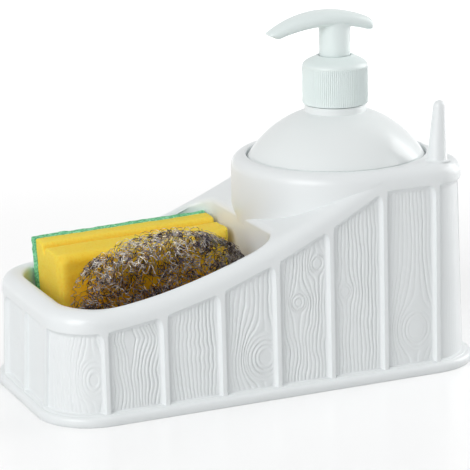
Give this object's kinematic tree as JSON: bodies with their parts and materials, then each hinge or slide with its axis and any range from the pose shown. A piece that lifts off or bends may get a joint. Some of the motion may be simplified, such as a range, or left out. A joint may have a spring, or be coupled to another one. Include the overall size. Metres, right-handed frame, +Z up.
{
  "type": "soap pump caddy",
  "caption": "White moulded caddy with wood-look board panels, a round bottle with a lotion pump in a tall housing, and a low open well that holds a sponge and a wire scourer.",
  "frame": {"origin": "centre of the base flange's underside, on the surface that the caddy stands on", "axes": "+X from the sponge well towards the bottle housing, +Y towards the back, +Z up along the pump's axis"},
  "size_m": [0.232, 0.1132, 0.1781],
  "materials": {
    "white_moulding": "gloss",
    "white_bottle": "gloss",
    "white_pump": "gloss",
    "natural_plastic": "satin",
    "steel": "satin",
    "yellow_foam": "matte",
    "green_fibre": "matte",
    "steel_wool": "satin"
  },
  "bodies": {
    "caddy": {"caddy_body": "white_moulding"},
    "bottle_shell": {"bottle": "white_bottle"},
    "pump_frame": {"pump_housing": "natural_plastic", "neck_gasket": "natural_plastic", "lock_ring": "white_pump", "dip_tube": "natural_plastic", "return_spring": "steel"},
    "screw_closure": {"closure": "white_pump"},
    "plunger": {"piston": "natural_plastic"},
    "head": {"actuator_head": "white_pump", "stem": "natural_plastic"},
    "outlet_valve": {"outlet_ball": "steel"},
    "inlet_valve": {"inlet_ball": "steel"},
    "sponge": {"sponge_foam": "yellow_foam", "scouring_pad": "green_fibre"},
    "scourer": {"wire_scourer": "steel_wool"}
  },
  "joints": [
    {"name": "bottle_lift", "type": "slide", "parent": "caddy", "child": "bottle_shell", "axis": [0, 0, 1], "range_m": [0, 0.12]},
    {"name": "pump_rise", "type": "slide", "parent": "bottle_shell", "child": "pump_frame", "axis": [0, 0, 1], "range_m": [0, 0.0064]},
    {"name": "closure_turn", "type": "hinge", "parent": "pump_frame", "child": "screw_closure", "pos_m": [0.0574, 0, 0.14], "axis": [0, 0, 1], "range_deg": [0, 545]},
    {"name": "pump_press", "type": "slide", "parent": "pump_frame", "child": "plunger", "axis": [0, 0, -1], "range_m": [0, 0.013], "stiffness_N_per_m": 700, "springref_m": -0.008, "deforming": ["return_spring"]},
    {"name": "head_turn", "type": "hinge", "parent": "plunger", "child": "head", "pos_m": [0.0574, 0, 0.165], "axis": [0, 0, 1], "continuous": true},
    {"name": "outlet_ball_lift", "type": "slide", "parent": "head", "child": "outlet_valve", "axis": [0, 0, 1], "range_m": [0, 0.0012]},
    {"name": "inlet_ball_lift", "type": "slide", "parent": "pump_frame", "child": "inlet_valve", "axis": [0, 0, 1], "range_m": [0, 0.0015]},
    {"name": "sponge_lift", "type": "slide", "parent": "caddy", "child": "sponge", "axis": [0, 0, 1], "range_m": [0, 0.08]},
    {"name": "scourer_lift", "type": "slide", "parent": "caddy", "child": "scourer", "axis": [0, 0, 1], "range_m": [0, 0.085]}
  ],
  "couplings": [
    {"joint": "closure_turn", "follows": "pump_rise", "rad_per_m": 1484.3}
  ]
}
